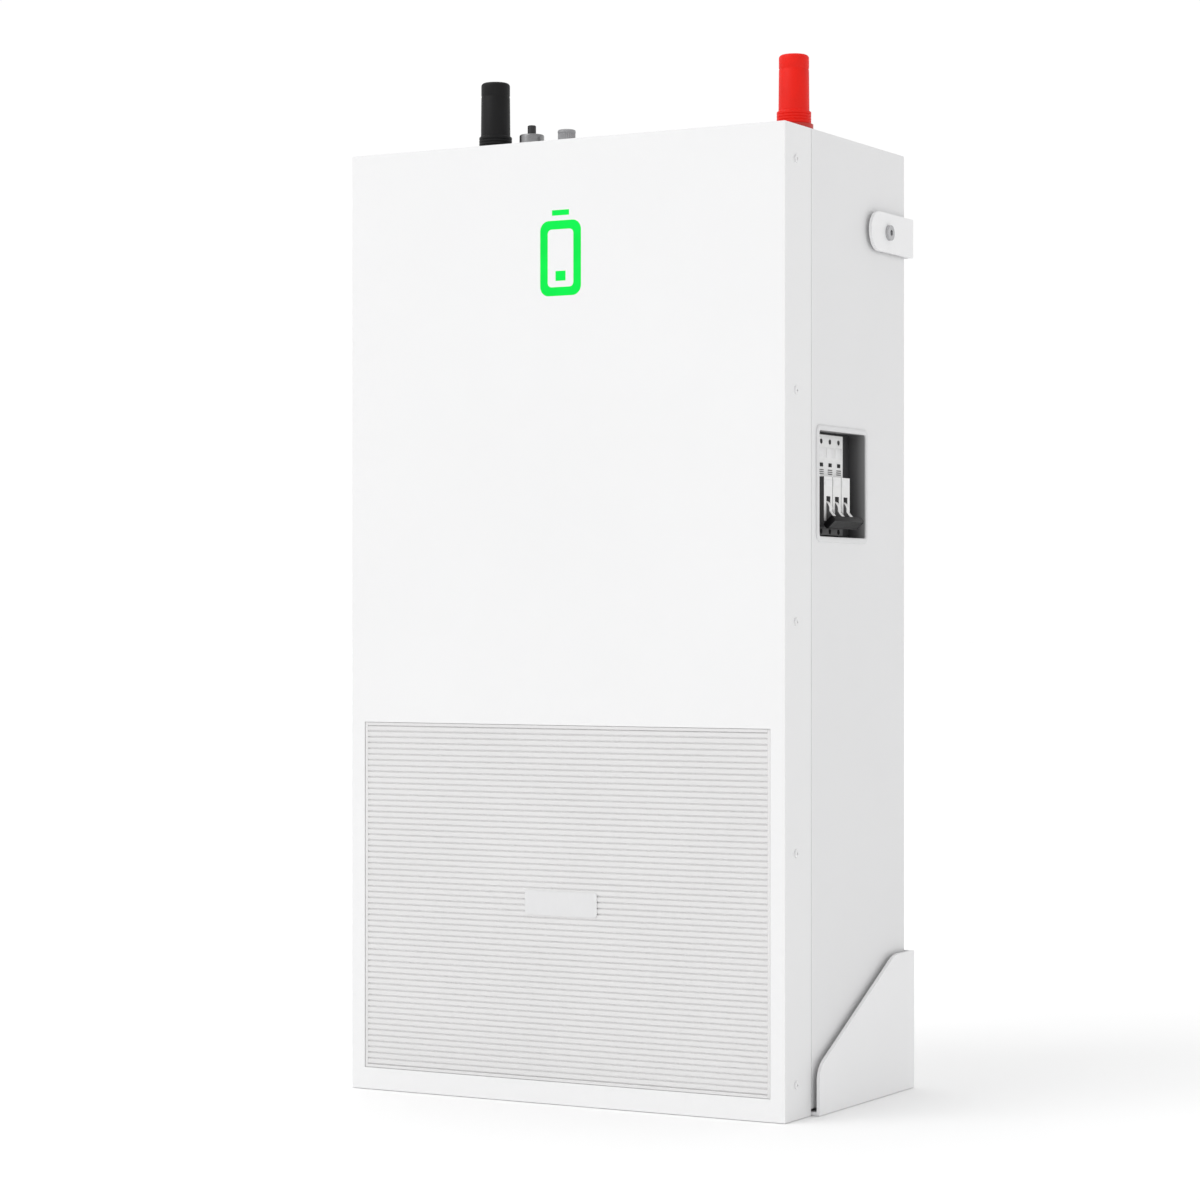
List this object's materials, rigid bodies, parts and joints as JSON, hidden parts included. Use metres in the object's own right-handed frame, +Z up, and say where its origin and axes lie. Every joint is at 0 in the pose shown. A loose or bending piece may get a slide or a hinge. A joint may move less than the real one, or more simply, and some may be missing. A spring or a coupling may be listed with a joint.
{
  "type": "wall battery unit",
  "caption": "Slim upright wall-mounted battery cabinet with a ribbed lower front panel, top terminals with pull-off boots, a side breaker and two wall brackets.",
  "frame": {"origin": "middle of the footprint of the whole unit with its brackets, at the height of its lowest faces", "axes": "+Z up, the front faces -Y, the wall is on the +Y side, the breaker is on the +X side"},
  "size_m": [0.469, 0.2586, 0.947],
  "materials": {
    "cover_paint": "fine satin powder coat",
    "case_paint": "fine satin powder coat",
    "bracket_paint": "satin powder coat",
    "gasket_rubber": "matt",
    "grille_plastic": "satin moulded",
    "badge": "satin",
    "light_diffuser": "lit diffuser",
    "board": "solder mask",
    "zinc_steel": "zinc plated",
    "dark_bolt": "dark zinc",
    "brass": "turned",
    "bezel_plastic": "moulded",
    "breaker_plastic": "moulded",
    "toggle_black": "moulded",
    "black_plastic": "moulded",
    "red_plastic": "moulded",
    "copper": "tinned copper",
    "black_rubber": "satin",
    "red_rubber": "satin",
    "button_metal": "satin",
    "button_cap": "satin",
    "cell_can": "blue film",
    "ivory_plastic": "moulded",
    "aluminium": "mill finish",
    "clear_sheet": "clear sheet",
    "cable_jacket": "cable jacket"
  },
  "bodies": {
    "unit": {"front_cover": "cover_paint", "cover_gasket": "gasket_rubber", "grille_panel": "grille_plastic", "badge_plate": "badge", "light_symbol": "light_diffuser", "led_board": "board", "cover_screws": "cover_paint", "rivet_nuts": "brass", "back_panel": "case_paint", "side_panel_left": "case_paint", "side_panel_right": "case_paint", "top_panel": "case_paint", "bottom_panel": "case_paint", "upper_wall_rail": "bracket_paint", "lower_wall_bracket": "bracket_paint", "ear_bolts": "dark_bolt", "ear_spacers": "zinc_steel", "shelf_pads": "gasket_rubber", "breaker_bezel": "bezel_plastic", "breaker_case": "breaker_plastic", "breaker_clamp_screws": "zinc_steel", "din_rail": "zinc_steel", "breaker_bracket": "zinc_steel", "negative_base": "black_plastic", "positive_base": "red_plastic", "negative_stud": "copper", "positive_stud": "copper", "stud_nuts": "zinc_steel", "base_nuts": "black_plastic", "comm_socket": "black_plastic", "comm_pins": "brass", "button_housing": "button_metal", "button_spring": "zinc_steel", "earth_stud": "brass", "cells_left": "cell_can", "cells_right": "cell_can", "cell_spacers": "ivory_plastic", "end_plate_top": "aluminium", "end_plate_bottom": "aluminium", "stack_straps": "zinc_steel", "busbars": "copper", "busbar_nuts": "zinc_steel", "insulation_sheet": "clear_sheet", "sense_board": "board", "bms_plate": "zinc_steel", "plate_standoffs": "brass", "bms_heatsink": "aluminium", "bms_board": "board", "mosfets": "black_plastic", "shunt": "copper", "main_fuse": "ivory_plastic", "cell_cables": "cable_jacket", "breaker_cables": "cable_jacket", "terminal_cables": "cable_jacket"},
    "breaker_toggle": {"breaker_handle": "toggle_black", "breaker_pin": "zinc_steel"},
    "negative_cap": {"negative_boot": "black_rubber"},
    "positive_cap": {"positive_boot": "red_rubber"},
    "comm_cover": {"comm_cap": "black_plastic"},
    "button": {"power_button": "button_cap"}
  },
  "joints": [
    {"name": "breaker_toggle_hinge", "type": "hinge", "parent": "unit", "child": "breaker_toggle", "pos_m": [0.215, -0.01325, 0.536], "axis": [0, -1, 0], "range_deg": [0, 90]},
    {"name": "negative_cap_pull", "type": "slide", "parent": "unit", "child": "negative_cap", "axis": [0, 0, 1], "range_m": [0, 0.075]},
    {"name": "positive_cap_pull", "type": "slide", "parent": "unit", "child": "positive_cap", "axis": [0, 0, 1], "range_m": [0, 0.075]},
    {"name": "comm_cap_pull", "type": "slide", "parent": "unit", "child": "comm_cover", "axis": [0, 0, 1], "range_m": [0, 0.03]},
    {"name": "button_press", "type": "slide", "parent": "unit", "child": "button", "axis": [0, 0, -1], "range_m": [0, 0.0025], "stiffness_N_per_m": 400, "springref_m": -0.002, "deforming": ["button_spring"]}
  ]
}
